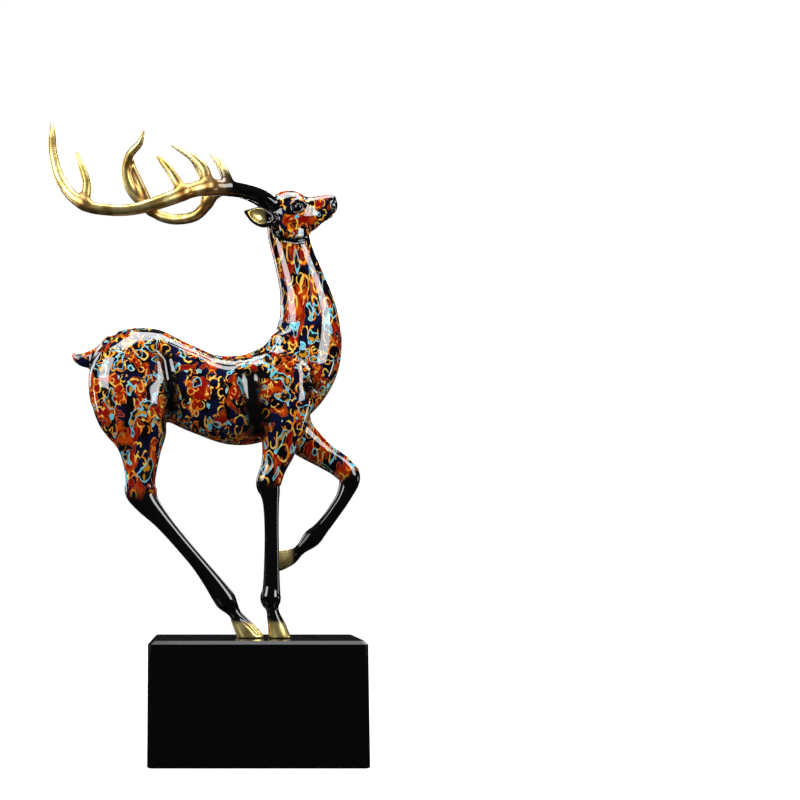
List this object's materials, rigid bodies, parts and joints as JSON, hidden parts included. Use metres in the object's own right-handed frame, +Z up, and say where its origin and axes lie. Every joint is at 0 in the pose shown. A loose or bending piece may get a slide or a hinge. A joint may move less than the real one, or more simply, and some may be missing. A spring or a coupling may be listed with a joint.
{
  "type": "deer figurine",
  "caption": "Stag figurine with raised head, long swept antlers and a lifted foreleg, on a polished black block plinth.",
  "frame": {"origin": "middle of the plinth's underside", "axes": "+X to where the stag faces, along the plinth's length; +Y to the stag's left; +Z up"},
  "size_m": [0.3032, 0.1744, 0.6398],
  "materials": {
    "lacquered_copper": "high-gloss marbled lacquer in navy, red-orange, golden yellow and aqua, gloss black shins, satin gold antlers, ears and hooves",
    "black_stone": "polished black stone with bright chamfered edges"
  },
  "bodies": {
    "root": {"deer": "lacquered_copper", "plinth": "black_stone"}
  },
  "joints": []
}
